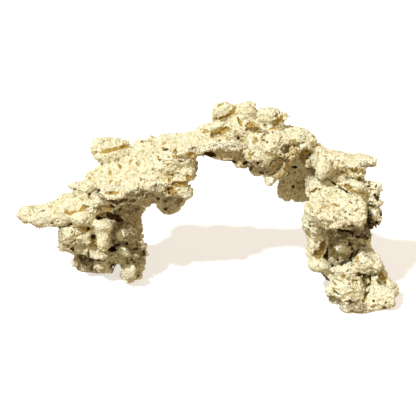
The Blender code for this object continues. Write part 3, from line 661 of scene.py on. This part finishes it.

# Washes by their colours, anywhere on the arch. Grey and ochre are the stone's own colour; brown and dark are
# painted shade, pale is painted light, and tan is partly the stone's tan and partly painted light
washes = dict(grey=[
    wash(21, 3.4, at=(220, 146), turn=2, stain=1), wash(6, 2.6, at=(195, 149.5), stain=1),
    wash(8, 3.4, at=(368, 164), turn=-6, stain=1), wash(13, 2.8, at=(110, 188.5), turn=4, stain=0.7),
    wash(10, 3, at=(160, 187.5), turn=12, stain=0.8), wash(9, 3.4, at=(79, 245), turn=-8, stain=0.45),
    wash(16, 2.2, at=(52, 223.5), turn=-3, stain=0.4),
], brown=[
    # Painted shade, where the rock's shape leaves a place too light
    wash(9, 2, at=(66, 225), stain=0.35), wash(7, 3.4, at=(98, 196), turn=-30, stain=0.8),
    wash(2.6, 8, at=(60, 232), stain=0.7), wash(8, 3.5, at=(268, 175), turn=-30, deep=16, stain=0.9),
    wash(9, 3.2, at=(240, 166.5), turn=-10, deep=14, stain=0.9),
    wash(4.5, 3.4, at=(309, 177), deep=16, stain=0.8), wash(10, 5, at=(337, 264), deep=16, stain=0.8),
    wash(9, 6, at=(356, 306), deep=14, stain=0.8), wash(6, 4, at=(133, 265), deep=32, stain=0.7),
    wash(5, 2.4, at=(118, 246), turn=-30, deep=36, stain=0.8), wash(5, 3, at=(344, 178)),
    wash(10, 2.4, at=(44, 220), stain=0.4), wash(9, 2.6, at=(233, 147), stain=0.5),
    wash(2.6, 6, at=(307, 181), stain=0.7), wash(3, 4, at=(313, 159), stain=0.5),
    wash(8, 3, at=(100, 190), turn=-20, deep=12, stain=0.5), wash(3, 9, at=(62, 240), stain=0.5),
    wash(7, 3.4, at=(324, 221.5), turn=-15), wash(8, 3, at=(366, 253), turn=-42, stain=0.5),
    wash(8, 4, at=(100, 207), turn=-15, stain=0.35), wash(3, 12, at=(197, 165), turn=-4, deep=14, stain=0.4),
    wash(5, 3, at=(363, 276), turn=-20, deep=12), wash(11, 4, at=(84, 248), turn=-8, stain=0.35),
    wash(5, 10, at=(77, 262), stain=0.8), wash(16, 30, at=(128, 226), deep=30, stain=0.75),
    wash(8, 7, at=(257, 166), deep=16, stain=0.9), wash(22, 11, at=(144, 198), turn=5, deep=22, stain=0.55),
    wash(14, 12, at=(169, 206), deep=22, stain=0.5), wash(22, 11, at=(94, 265), deep=20, stain=0.5),
    wash(16, 18, at=(132, 262), deep=24, stain=0.45), wash(9, 5, at=(334, 302), turn=-30, stain=0.9),
    wash(9, 4, at=(357, 310), stain=0.7), wash(8, 2.4, at=(351, 226), turn=3, deep=12, stain=0.8),
    wash(4, 7, at=(144, 247), turn=-15, deep=14), wash(6, 2.4, at=(228, 160), turn=-8, deep=14, stain=0.9),
    wash(13, 5, at=(170, 211), turn=-10, deep=14, stain=0.8), wash(9, 4, at=(147, 202), deep=14, stain=0.7),
    wash(5, 8, at=(302, 182), deep=14, stain=0.4),
], ochre=[
    wash(6, 11, at=(291, 153), turn=-12, deep=26, stain=0.65), wash(6, 7, at=(304, 156), deep=22, stain=0.7),
    wash(10, 4, at=(281, 168), turn=55, deep=26, stain=0.65), wash(5, 6, at=(367, 280), turn=20, deep=12),
    wash(17, 4, at=(345, 172)), wash(10, 3, at=(338, 179)), wash(20, 11, at=(283, 163), turn=52, deep=24),
    wash(8, 4.5, at=(254, 128), turn=-32), wash(5, 4.5, at=(278, 126), turn=30, stain=0.5),
    wash(3, 3, at=(255, 141), stain=0.7), wash(10, 3.4, at=(220, 132), turn=25, deep=14, stain=0.8),
    wash(6, 1.8, at=(205, 131), turn=-8, stain=0.5), wash(5, 2.4, at=(71, 224), turn=-10, stain=0.7),
    wash(4, 6, at=(95, 243), deep=14, stain=0.7), wash(8, 3.4, at=(83, 229), turn=-5, deep=12),
    wash(5, 10, at=(312, 170), deep=14, stain=0.5), wash(6, 4, at=(304, 153), deep=14, stain=0.45),
], dark=[
    # Painted shade: the darkest crevices and caves
    wash(4, 3, at=(336, 303), turn=-30, deep=14, stain=0.4),
    wash(5, 3, at=(167, 200), turn=10, deep=26, stain=0.45),
    wash(5, 2.4, at=(179, 201), turn=35, deep=26, stain=0.45), wash(5, 2.6, at=(133, 200.5), deep=20),
    wash(8, 2.6, at=(323, 276.5), turn=-38, deep=14),
    wash(5, 3.4, at=(117, 218), turn=-33, deep=24, stain=0.8),
    wash(8, 3.6, at=(86, 259), turn=-15, deep=14, stain=0.7), wash(14, 4.5, at=(352, 233), turn=-6, deep=16),
    wash(7, 15, at=(371, 226), turn=-10, deep=16, stain=0.65),
], pale=[
    # Painted light: sunlit patches, and shaded places lifted
    wash(10, 6, at=(341, 240), deep=26, stain=0.4), wash(9, 6, at=(332, 176), deep=16, stain=0.4),
    wash(9, 6, at=(185, 163), deep=14, stain=0.4), wash(9, 5, at=(98, 261), deep=30),
    wash(3.4, 5.5, at=(120, 235), turn=-10, deep=34, stain=0.7),
    wash(6, 3.6, at=(123.5, 251.5), turn=-32, deep=36, stain=1),
    wash(6, 8, at=(128.5, 271), turn=-15, deep=36, stain=1), wash(2, 1.6, at=(109, 271.5), stain=1),
    wash(4.8, 4.4, at=(340, 247.3), turn=30, deep=30, stain=1),
    wash(4, 3.6, at=(270, 181), turn=-30, stain=1), wash(13, 5, at=(228, 156), turn=-8, deep=16, stain=0.35),
    wash(4, 5, at=(161, 206), deep=26, stain=0.45),
    wash(3.5, 6, at=(174, 208), turn=-20, deep=26, stain=0.4),
    wash(6, 2, at=(185, 196.5), turn=32, deep=26, stain=0.35),
    wash(6, 2.4, at=(137, 193), turn=5, deep=20, stain=0.35),
    wash(12, 14, at=(292, 184), deep=24, stain=0.22),
    wash(16, 11, at=(282, 165), turn=52, deep=24, stain=0.15),
], tan=[
    # Partly the stone's tan, partly painted light that lifts shaded undersides and hollows
    wash(8, 7, at=(102, 265), deep=32, stain=0.5), wash(14, 5, at=(228, 155), turn=-8, deep=16, stain=0.9),
    wash(9, 4, at=(188, 160), stain=0.9), wash(13, 14, at=(341, 248), deep=24, stain=0.8),
    wash(17, 20, at=(292, 182), deep=24), wash(9, 7, at=(240, 161), turn=-20, deep=14, stain=0.9),
])
allHollows = [feature for name in rockNames for feature in rocks[name].get("hollows", ())]
allPits = [feature for name in rockNames for feature in rocks[name]["pits"]]
allWashes = [dict(feature, tone=tone) for tone, group in washes.items() for feature in group]
tones = list(washes)
print(f"forms placed after {time.time() - started:.0f} s")

grain = dict(
    step=1.12,  # mm, one cell of the grid a rock is worked on
    band=9,  # mm on each side of the surface where the grid holds distances
    margin=11,  # mm of room round a packed rock
    underFloor=4,  # cells of the grid under the floor
    overreach=1.05,  # of its half sizes, how far a form can reach
    shrink=0.5,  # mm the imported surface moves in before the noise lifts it
    bond=1.9,  # mm that rocks swell into each other where they meet
    bondReach=4.0,  # mm from its neighbour where a rock begins to swell
    round=4,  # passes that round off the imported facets
    blends=dict(lump=3.0, trim=1.0, hollow=2.0, boss=2.0, pit=0.6, bore=0.5),  # mm of rounding at the rim
    coarseSkin=5.5,  # mm from the surface where the coarse noise is added
    bends=(17, 1.3),  # warps the coarse noise: spacing and reach in mm
    waves=(16.0, 0.7),  # rounded lumps: spacing and height in mm
    waveLevel=0.7,  # the part of the waves that lowers the surface
    faces=((12.0, 0.85), (6.0, 0.6)),  # broken faces: spacing and height
    clefts=(8.0, 1.6),  # narrow clefts between some faces: spacing and depth
    cleftWidth=0.16,  # in spacings
    cleftCover=(24, 0.2),  # where the clefts are: spacing and how much more than half
    flat=1.5,  # the faces are this much wider than they are high
    fineSkin=2.5,  # mm from the surface where the fine noise is added
    crumbs=(3.6, 0.42),  # crisp grains: spacing and height
    fine=(2.4, 0.30),
    turns=dict(bends=0.4, faces=0.3, clefts=1.9, crumbs=0.8, fine=1.8),  # radians between the noises
    pitsPerArea=1.3,  # bored pits to the square centimetre
    pitSize=(0.6, 1.6),  # mm
    pitSkew=2.5,  # over 1, most are small
    pitStretch=0.9,  # how much longer than wide they may be
    pitSink=0.3,  # how far their middles lie under the surface, in sizes
    rawer=0.9,  # the floor of a hollow is this much rougher
    rawDepth=6,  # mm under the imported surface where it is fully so
    soleFade=7,  # mm above the floor where the noise is at its full height
    wideReach=(4, 4),  # cells over which the wide and the tight measure of a place average
    tightReach=(1, 2),
)
step = grain["step"]
gridScale = openvdb.createLinearTransform(step)
levelSets = {}
for name, (corners, triangles) in packed.items():
    levelSets[name] = openvdb.FloatGrid.createLevelSetFromPolygons(
        corners, triangles=triangles, transform=gridScale, halfWidth=grain["band"] / step
    )


# The grid of one rock: distances in mm at whole cells, minus inside
class Rock:
    def __init__(self, name):
        corners = packed[name][0]
        self.name = name
        self.low = np.floor((corners.min(0) - grain["margin"]) / step).astype(int)
        self.low[2] = max(self.low[2], -grain["underFloor"])
        self.shape = tuple(np.ceil((corners.max(0) + grain["margin"]) / step).astype(int) - self.low)
        self.field = self.distances([name])
        self.packedField = self.field.copy()

    # Distances from the nearest of some packed rocks, on this rock's grid
    def distances(self, names):
        nearest = np.full(self.shape, float(grain["band"]), np.float32)
        for name in names:
            patch = np.empty(self.shape, np.float32)
            levelSets[name].copyToArray(patch, ijk=tuple(int(cell) for cell in self.low))
            nearest = np.minimum(nearest, patch)
        return nearest

    # The part of the grid that a form reaches, as slices and as coordinates
    def window(self, body, spare):
        reach = np.abs(body["axes"] * body["half"][:, None]).sum(0) * grain["overreach"] + spare
        first = np.floor((body["centre"] - reach) / step).astype(int) - self.low
        last = np.ceil((body["centre"] + reach) / step).astype(int) - self.low + 1
        first, last = np.maximum(first, 0), np.minimum(last, self.shape)
        if (first >= last).any():
            return None, None
        axes = [(np.arange(a, b) + low) * step for a, b, low in zip(first, last, self.low)]
        grid = (axes[0][:, None, None], axes[1][None, :, None], axes[2][None, None, :])
        return tuple(slice(a, b) for a, b in zip(first, last)), grid

    # Adds forms of one kind where `side` is 1, or carves them out where it is -1
    def join(self, bodies, kind, side):
        blend = grain["blends"][kind]
        for body in bodies:
            cells, grid = self.window(body, blend)
            if cells:
                here, new = side * self.field[cells], formDistance(body, *grid)
                rounding = np.maximum(blend - np.abs(here - new), 0) ** 2 / (4 * blend)
                self.field[cells] = side * (np.minimum(here, new) - rounding)

    def grow(self, bodies, kind):
        self.join(bodies, kind, 1)

    def carve(self, bodies, kind):
        self.join(bodies, kind, -1)

    # The cells near the surface, their places in mm, and how strong the noise is there: it fades
    # towards the soles, and it is stronger where a hollow has been carved
    def skin(self, reach):
        near = np.abs(self.field) < reach
        points = ((np.argwhere(near) + self.low) * step).astype(np.float32)
        fade = np.clip(points[:, 2] / grain["soleFade"], 0, 1)
        raw = 1 + grain["rawer"] * np.clip(-self.packedField[near] / grain["rawDepth"], 0, 1)
        return near, points, fade, raw

    # Adds lumps, broken faces and clefts
    def breakUp(self, height):
        near, points, fade, raw = self.skin(grain["coarseSkin"])
        turns = grain["turns"]
        spacing, reach = grain["bends"]
        bend = [noiseAt(hills[k], turned(points, turns["bends"] + k), spacing) for k in range(3)]
        points = points + np.stack(bend, 1) * reach
        spacing, size = grain["waves"]
        lift = size * (np.abs(noiseAt(hills[0], points, spacing)) - grain["waveLevel"])
        layered = points * np.array([1, 1, grain["flat"]], np.float32)
        for number, (spacing, size) in enumerate(grain["faces"]):
            lift += size * noiseAt(crags, turned(layered, turns["faces"] + number), spacing)
        spacing, more = grain["cleftCover"]
        some = np.clip(noiseAt(hills[1], points, spacing) + more, 0, 1)
        spacing, size = grain["clefts"]
        edge = noiseAt(edges, turned(layered, turns["clefts"]), spacing)
        lift -= size * some * np.clip(1 - edge / grain["cleftWidth"], 0, 1)
        self.field[near] -= lift * height * fade * raw

    # Adds the fine grain
    def roughen(self, height):
        near, points, fade, raw = self.skin(grain["fineSkin"])
        spacing, size = grain["crumbs"]
        lift = size * noiseAt(crags, turned(points, grain["turns"]["crumbs"]), spacing)
        spacing, size = grain["fine"]
        lift += size * noiseAt(hills[3], turned(points, grain["turns"]["fine"]), spacing)
        self.field[near] -= lift * height * fade * raw


# Averages a grid with its neighbours along each axis
def smoothed(field, passes):
    for _ in range(passes):
        for axis in range(3):
            field = np.moveaxis(field, axis, 0).copy()
            field[1:-1] = (field[:-2] + 2 * field[1:-1] + field[2:]) / 4
            field = np.moveaxis(field, 0, axis)
    return np.ascontiguousarray(field)


# Averages a grid over cubes of cells, one after the other
def boxed(field, reaches):
    for reach in reaches:
        for axis in range(3):
            field = np.moveaxis(field, axis, 0)
            before, after = np.repeat(field[:1], reach + 1, 0), np.repeat(field[-1:], reach, 0)
            total = np.cumsum(np.concatenate([before, field, after]), 0, dtype=np.float64)
            field = ((total[2 * reach + 1:] - total[:-2 * reach - 1]) / (2 * reach + 1)).astype(np.float32)
            field = np.moveaxis(field, 0, axis)
    return field


# Reads a grid at points in mm
def readGrid(field, low, points):
    lastCell = np.array(field.shape) - 1.001  # just short of the last cell, so that each has a next one
    place = np.clip(points / step - low, 0, lastCell)
    cell = place.astype(np.int64)
    part = place - cell
    total = 0
    for corner in np.ndindex(2, 2, 2):
        share = np.prod(np.where(np.array(corner), part, 1 - part), 1)
        total = total + field[tuple((cell + corner).T)] * share
    return total


# Keeps the largest joined piece of a mesh
def largest(points, quads):
    label = np.arange(len(points))
    pairs = np.concatenate([quads[:, [0, 1]], quads[:, [1, 2]], quads[:, [2, 3]]])
    while True:
        lower = np.minimum(label[pairs[:, 0]], label[pairs[:, 1]])
        new = label.copy()
        np.minimum.at(new, pairs[:, 0], lower)
        np.minimum.at(new, pairs[:, 1], lower)
        new = new[new]
        new = new[new]
        if (new == label).all():
            break
        label = new
    names, counts = np.unique(label, return_counts=True)
    keep = label == names[counts.argmax()]
    renumber = np.cumsum(keep) - 1
    return points[keep], renumber[quads[keep[quads[:, 0]]]]


# Small bored pits all over a packed rock
def scatterPits(rock, perArea, seed):
    corners, triangles = packed[rock.name]
    random = np.random.RandomState(seed)
    a, b, c = (corners[triangles[:, k]].astype(float) for k in range(3))
    cross = np.cross(b - a, c - a)
    area = np.linalg.norm(cross, axis=1) / 2
    count = int(area.sum() / 100 * perArea)  # from square mm to square cm
    chosen = random.choice(len(area), count, p=area / area.sum())
    u, v = random.random_sample((2, count, 1))
    flip = u + v > 1
    u, v = np.where(flip, 1 - u, u), np.where(flip, 1 - v, v)
    places = a[chosen] + (b - a)[chosen] * u + (c - a)[chosen] * v
    small, large = grain["pitSize"]
    for place, normal in zip(places, cross[chosen]):
        size = small + (large - small) * random.random_sample() ** grain["pitSkew"]
        stretch = 1 + grain["pitStretch"] * random.random_sample(3) ** 2
        spin = np.linalg.qr(random.standard_normal((3, 3)))[0]
        centre = place - normal / np.linalg.norm(normal) * size * grain["pitSink"]
        yield form(centre, spin, size * stretch)


stainingAndShading = dict(
    reach=1.3,  # in half sizes, how far from a form's middle its colour is looked for
    spare=2,  # mm more than that
    full=1.5,  # the strength at a form's edge, before it is cut off at 1
    fade=0.9,  # mm over which it falls by 1
    mouth=0.3,  # the strength half way into a hollow coloured on the inside, which for the brown and dark colours is painted shade
    gain=1.8,  # how much it gains to the back of the hollow
)


# How strong each colour is at each corner
def stainsAndShading(points):
    colours = {tone: np.zeros(len(points)) for tone in tones}
    for feature in allHollows + allPits + allWashes:
        colour = colours[feature["tone"]]
        for body in feature["bodies"]:
            reach = body["half"].max() * stainingAndShading["reach"] + stainingAndShading["spare"]
            near = np.abs(points - body["centre"]).max(1) < reach
            if near.any():
                edge = formDistance(body, *points[near].T) / stainingAndShading["fade"]
                amount = feature["stain"] * np.clip(stainingAndShading["full"] - edge, 0, 1)
                # Inside a hollow the colour gains to the back: painted shade for the brown and dark colours,
                # painted light for the pale one
                if feature["inside"]:
                    inward = (body["centre"] - points[near]) * body["axes"][2]
                    depth = inward.sum(1) / body["half"][2]
                    amount *= np.clip(stainingAndShading["mouth"] + depth * stainingAndShading["gain"], 0, 1)
                colour[near] = np.maximum(colour[near], amount)
    return colours


def growStone(name, seed):
    rock = Rock(name)
    facts = rocks[name]
    others = rock.distances([other for other in rockNames if other != name])
    rock.field = smoothed(rock.field, grain["round"]) + grain["shrink"]
    rock.field -= grain["bond"] * np.clip(1 - others / grain["bondReach"], 0, 1)
    rock.grow(facts["lumps"], "lump")
    rock.carve(facts.get("trims", ()), "trim")
    rock.carve([body for feature in allHollows for body in feature["bodies"]], "hollow")
    rock.grow(facts.get("bosses", ()), "boss")
    rock.breakUp(facts["rough"])
    rock.carve([body for feature in allPits for body in feature["bodies"]], "pit")
    rock.carve(scatterPits(rock, grain["pitsPerArea"] * facts["bored"], seed), "bore")
    rock.roughen((1 + facts["rough"]) / 2)
    heights = (np.arange(rock.shape[2]) + rock.low[2]) * step
    rock.field = np.maximum(rock.field, -heights[None, None, :].astype(np.float32))

    grid = openvdb.FloatGrid(float(grain["band"]))
    grid.transform = gridScale
    grid.copyFromArray(rock.field, ijk=tuple(int(cell) for cell in rock.low))
    points, quads = grid.convertToQuads(0.0)
    points, quads = largest(points, quads.astype(np.int64))

    # How closed in each corner is, by a wide and by a tight measure; the material paints shade from them in
    # hollows and recesses
    solid = (np.minimum(rock.field, others) < 0).astype(np.float32)
    wide = readGrid(boxed(solid, grain["wideReach"]), rock.low, points)
    tight = readGrid(boxed(solid, grain["tightReach"]), rock.low, points)
    return points, quads, dict(wide=wide, tight=tight, **stainsAndShading(points))


def newMesh(name, points, quads, values):
    mesh = bpy.data.meshes.new(name)
    mesh.vertices.add(len(points))
    mesh.vertices.foreach_set("co", (points * mm).astype(np.float32).ravel())
    mesh.loops.add(quads.size)
    mesh.loops.foreach_set("vertex_index", quads.astype(np.int32).ravel())
    mesh.polygons.add(len(quads))
    mesh.polygons.foreach_set("loop_start", np.arange(0, quads.size, 4, dtype=np.int32))
    mesh.update(calc_edges=True)
    mesh.validate()
    mesh.shade_smooth()
    for key, value in values.items():
        mesh.attributes.new(key, "FLOAT", "POINT").data.foreach_set("value", value.astype(np.float32))
    return mesh


stone = dict(
    cream=(0.81, 0.84, 0.66, 1),
    buff=(0.68, 0.65, 0.43, 1),  # the patches between the cream ones
    tip=(0.85, 0.89, 0.74, 1),  # what stands proud and the light specks; also the colour of the painted light
    tan=(0.60, 0.50, 0.25, 1),  # the freckles and pores; also painted shade in the small hollows, and the tan washes
    brown=(0.34, 0.25, 0.12, 1),  # painted shade in the deep hollows and recesses, and under the brown washes
    ochre=(0.43, 0.31, 0.08, 1),
    dark=(0.10, 0.065, 0.025, 1),  # painted shade inside the holes and under the dark washes; also the dark specks
    grey=(0.32, 0.28, 0.22, 1),  # fresh broken edges, mixed with the tips' colour
    patches=(130, 5, 0.65),  # noise: scale to the metre, detail and roughness
    crumbs=(260, 3, 0.6),
    specks=(430, 2, 0.5),
    grains=(560, 2, 0.5),
    poreScale=380,
    # Each coat lies on the ones before it: where it begins, where it is full and how much it hides
    coats=dict(
        patches=(0.42, 0.68, 1),
        edges=(0.47, 0.36, 1),
        freckles=(0.54, 0.66, 0.65),
        pores=(0.30, 0.16, 0.5),
        # The next three coats are painted shade, darker the more closed in a place is
        hollows=(0.54, 0.68, 0.8),
        depths=(0.68, 0.84, 0.5),
        recesses=(0.60, 0.80, 0.75),
        breaks=(0.50, 1.0, 1),
        ochre=(0.25, 0.85, 1),
        # The brown coat is painted shade; the tan coat is partly the stone's tan and partly painted light
        brown=(0.15, 1.0, 1),
        tan=(0.15, 1.0, 1),
        creamCrumbs=(0.51, 0.59, 0.6),
        tipSpecks=(0.52, 0.58, 0.5),
        darkSpecks=(0.46, 0.40, 0.5),
        # The pale coat is painted light and the dark coat painted shade
        pale=(0.15, 0.7, 1),
        dark=(0.20, 0.8, 1),
    ),
    poredPatches=(0.40, 0.60),  # the patches that have pores
    rawRange=(0.54, 0.76),  # how closed in a place is and how strong its painted shade and tan washes are, from smooth to raw
    rawStains=dict(brown=0.9, tan=0.6),
    ragged=(1.0, 0.9),  # how much the patches and the specks break up the edge of a stain and of the painted shade
    raggedOchre=1.3,  # times that
    raggedEnds=0.5,  # and for the painted light and the dark painted shade
    brokenSpecks=3.5,  # the same for the grey edges
    brokenPatches=1.0,
    hollowSpecks=0.3,  # and for the painted shade in the small hollows
    greyGrains=(0.44, 0.56),
    poreDepth=0.7,  # in the bump, beside the grains
    poreWidth=0.40,
    bumpHeight=0.0014,  # m
    roughness=0.95,
    shine=0.2,
)
middle = 0.5  # of a noise's range


# A socket of a node tree that takes part in sums
class Wire:
    def __init__(self, paint, socket):
        self.paint, self.socket = paint, socket

    def sum(self, operation, first, second):
        return self.paint.node("ShaderNodeMath", dict(operation=operation), {0: first, 1: second})

    def __add__(self, other):
        return self.sum("ADD", self, other)

    def __sub__(self, other):
        return self.sum("SUBTRACT", self, other)

    def __rsub__(self, other):
        return self.sum("SUBTRACT", other, self)

    def __mul__(self, other):
        return self.sum("MULTIPLY", self, other)

    __radd__ = __add__
    __rmul__ = __mul__


# The nodes of one material
class Paint:
    def __init__(self, name):
        self.material = bpy.data.materials.new(name)
        self.material.use_nodes = True
        self.tree = self.material.node_tree
        self.shader = self.tree.nodes["Principled BSDF"]

    def plug(self, node, sockets):
        for key, value in sockets.items():
            if isinstance(value, Wire):
                self.tree.links.new(value.socket, node.inputs[key])
            else:
                node.inputs[key].default_value = value

    # Adds a node: its type, its settings, its sockets' values or links, and which output to hand back
    def node(self, kind, settings, sockets, output=0):
        node = self.tree.nodes.new(kind)
        for key, value in settings.items():
            setattr(node, key, value)
        self.plug(node, sockets)
        return Wire(self, node.outputs[output])

    def attribute(self, name):
        return self.node("ShaderNodeAttribute", dict(attribute_name=name), {}, "Fac")

    def noise(self, place, scale, detail, rough):
        sockets = {"Vector": place, "Scale": scale, "Detail": detail, "Roughness": rough}
        return self.node("ShaderNodeTexNoise", {}, sockets, "Fac")

    # 0 where a value is at `low` or under it, 1 at `high` or over it
    def between(self, value, low, high):
        sockets = {"Value": value, "From Min": low, "From Max": high}
        return self.node("ShaderNodeMapRange", dict(interpolation_type="SMOOTHSTEP"), sockets)

    def blend(self, amount, first, second):
        return self.node("ShaderNodeMix", dict(data_type="RGBA"), {0: amount, 6: first, 7: second}, 2)

    # Lays a coat of the stone over a colour, where `value` says and only as far as `within` goes
    def coat(self, name, value, under, over, within=None):
        low, high, hides = stone["coats"][name]
        amount = self.between(value, low, high)
        for share in (within, hides):
            if share not in (None, 1):
                amount = amount * share
        return self.blend(amount, under, over)


def stoneMaterial():
    paint = Paint("reef_stone")
    place = paint.node("ShaderNodeTexCoord", {}, {}, "Object")
    patches, crumbs, specks, grains = (
        paint.noise(place, *stone[name]) for name in ("patches", "crumbs", "specks", "grains")
    )
    pores = paint.node("ShaderNodeTexVoronoi", {}, {"Vector": place, "Scale": stone["poreScale"]}, "Distance")
    wide, tight = paint.attribute("wide"), paint.attribute("tight")
    ochre, brown, tan = paint.attribute("ochre"), paint.attribute("brown"), paint.attribute("tan")
    patchy, specky = patches - middle, specks - middle
    ragged = patchy * stone["ragged"][0] + specky * stone["ragged"][1]
    # Where the painted shade of the small and deep hollows goes
    sunken = tight + specky * stone["hollowSpecks"]
    broken = paint.attribute("grey") + specky * stone["brokenSpecks"] + patchy * stone["brokenPatches"]
    greyMix = paint.blend(paint.between(grains, *stone["greyGrains"]), stone["grey"], stone["tip"])
    pored = paint.between(patches, *stone["poredPatches"])
    closed = wide + brown * stone["rawStains"]["brown"] + tan * stone["rawStains"]["tan"]
    raw = paint.between(closed, *stone["rawRange"])

    colour = paint.coat("patches", patches, stone["cream"], stone["buff"])
    colour = paint.coat("edges", tight, colour, stone["tip"])
    colour = paint.coat("freckles", specks, colour, stone["tan"])
    colour = paint.coat("pores", pores, colour, stone["tan"], pored)
    # Painted shade: tan in the small hollows, brown in the deep hollows and recesses
    colour = paint.coat("hollows", sunken, colour, stone["tan"])
    colour = paint.coat("depths", sunken, colour, stone["brown"])
    colour = paint.coat("recesses", wide, colour, stone["brown"])
    colour = paint.coat("breaks", broken, colour, greyMix)
    colour = paint.coat("ochre", ochre + ragged * stone["raggedOchre"], colour, stone["ochre"])
    # Painted shade from the brown washes and hollows; the tan washes are partly the stone's tan and partly
    # painted light
    colour = paint.coat("brown", brown + ragged, colour, stone["brown"])
    colour = paint.coat("tan", tan + ragged, colour, stone["tan"])
    colour = paint.coat("creamCrumbs", crumbs, colour, stone["cream"], raw)
    colour = paint.coat("tipSpecks", specks, colour, stone["tip"], raw)
    colour = paint.coat("darkSpecks", specks, colour, stone["dark"], raw)
    # Painted light from the pale washes, painted shade from the dark washes and holes
    for name, over in (("pale", "tip"), ("dark", "dark")):
        value = paint.attribute(name) + ragged * stone["raggedEnds"]
        colour = paint.coat(name, value, colour, stone[over])

    height = grains + crumbs + paint.between(pores, 0.0, stone["poreWidth"]) * stone["poreDepth"] - specks
    sockets = {"Strength": 1.0, "Distance": stone["bumpHeight"], "Height": height}
    bump = paint.node("ShaderNodeBump", {}, sockets)
    paint.plug(paint.shader, {"Base Color": colour, "Normal": bump, "Roughness": stone["roughness"]})
    paint.plug(paint.shader, {"Specular IOR Level": stone["shine"]})
    return paint.material


reefStone = stoneMaterial()
triangleCount = 0
for seed, name in enumerate(rockNames):
    points, quads, values = growStone(name, seed)
    mesh = newMesh(name + "_stone", points, quads, values)
    mesh.materials.append(reefStone)
    piece = bpy.data.objects.new(name.replace("_rock", "") + "_stone", mesh)
    bpy.context.scene.collection.objects.link(piece)
    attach(piece, "root")
    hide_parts(name)
    triangleCount += 2 * len(quads)
    print(f"{name}: {2 * len(quads)} triangles after {time.time() - started:.0f} s")
print(f"{triangleCount} triangles in all")

# Floor and light
studio = dict(
    floorSize=20,  # m from the middle to each side
    floorColour=(0.60, 0.62, 0.66, 1),
    floorGlow=0.55,  # keeps the floor pale in the shadow
    sunFrom=(-0.45, -0.38, 0.81),
    sunPower=3.05,
    sunSpread=3,  # degrees across, for soft edges of the shadows
    fillFrom=(0.30, -0.75, 0.58),
    fillPower=0.45,
    fillSpread=90,
    fillColour=(1.0, 0.73, 0.42),
    skyColour=(1.0, 0.75, 0.46, 1),
    skyPower=0.54,
)

size = studio["floorSize"]
floorCorners = [(-size, -size, 0), (size, -size, 0), (size, size, 0), (-size, size, 0)]
floorMesh = bpy.data.meshes.new("floor")
floorMesh.from_pydata(floorCorners, [], [(0, 1, 2, 3)])
floor = bpy.data.objects.new("floor", floorMesh)
bpy.context.scene.collection.objects.link(floor)
floorPaint = Paint("pale_floor")
floorPaint.plug(floorPaint.shader, {
    "Base Color": studio["floorColour"],
    "Roughness": 1.0,
    "Emission Color": (1, 1, 1, 1),
    "Emission Strength": studio["floorGlow"],
})
floor.data.materials.append(floorPaint.material)
floor.visible_diffuse = False  # the pale floor throws no light up into the hollows
floor.visible_glossy = False
floor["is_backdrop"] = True


def lamp(name, source, power, spread, colour):
    light = bpy.data.lights.new(name, "SUN")
    light.energy = power
    light.angle = math.radians(spread)
    light.color = colour
    holder = bpy.data.objects.new(name, light)
    holder.rotation_euler = Vector(source).to_track_quat("Z", "Y").to_euler()
    bpy.context.scene.collection.objects.link(holder)


lamp("sun", studio["sunFrom"], studio["sunPower"], studio["sunSpread"], (1, 1, 1))
lamp("fill", studio["fillFrom"], studio["fillPower"], studio["fillSpread"], studio["fillColour"])
sky = bpy.data.worlds.new("sky")
sky.use_nodes = True
sky.node_tree.nodes["Background"].inputs["Color"].default_value = studio["skyColour"]
sky.node_tree.nodes["Background"].inputs["Strength"].default_value = studio["skyPower"]
bpy.context.scene.world = sky
bpy.context.scene.view_settings.view_transform = "Standard"

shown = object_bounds()
[[list(corner) for corner in box] for box in (cadBox, shown)]
